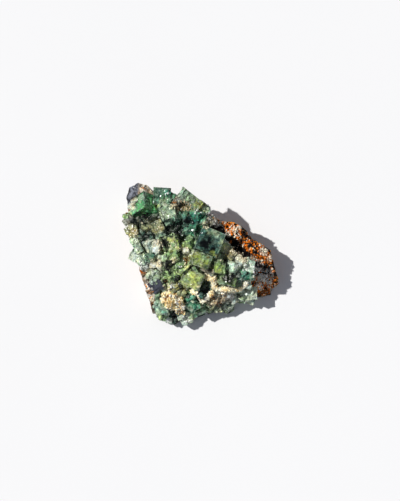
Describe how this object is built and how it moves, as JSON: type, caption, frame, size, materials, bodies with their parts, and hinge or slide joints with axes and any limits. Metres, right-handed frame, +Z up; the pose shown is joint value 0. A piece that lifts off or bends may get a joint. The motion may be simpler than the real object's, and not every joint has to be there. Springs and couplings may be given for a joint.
{
  "type": "fluorite specimen",
  "caption": "Crust of intergrown green fluorite cubes with cream druse on a lump of iron-stained rock, a loose mineral specimen that lies on its flat underside.",
  "frame": {"origin": "centre of the specimen's bounding box seen from above, on the surface that it lies on", "axes": "+Z up, from the flat underside to the crystals; +X towards the bare rust-orange flank, along the longest extent; +Y towards the edge with the two tallest cubes"},
  "size_m": [0.0865, 0.0787, 0.0347],
  "materials": {
    "iron_stained_rock": "rough, pitted, rust-orange rock with black hollows",
    "green_fluorite": "clear to frosted crystal in teal, emerald, yellow-green and mint",
    "cream_druse": "small cream blades, satin",
    "galena": "dark blue-grey, metallic"
  },
  "bodies": {
    "root": {"matrix_rock": "iron_stained_rock", "fluorite_crust": "green_fluorite", "cream_druse_patch": "cream_druse", "cream_druse_vein": "cream_druse", "galena_cube": "galena"}
  },
  "joints": []
}
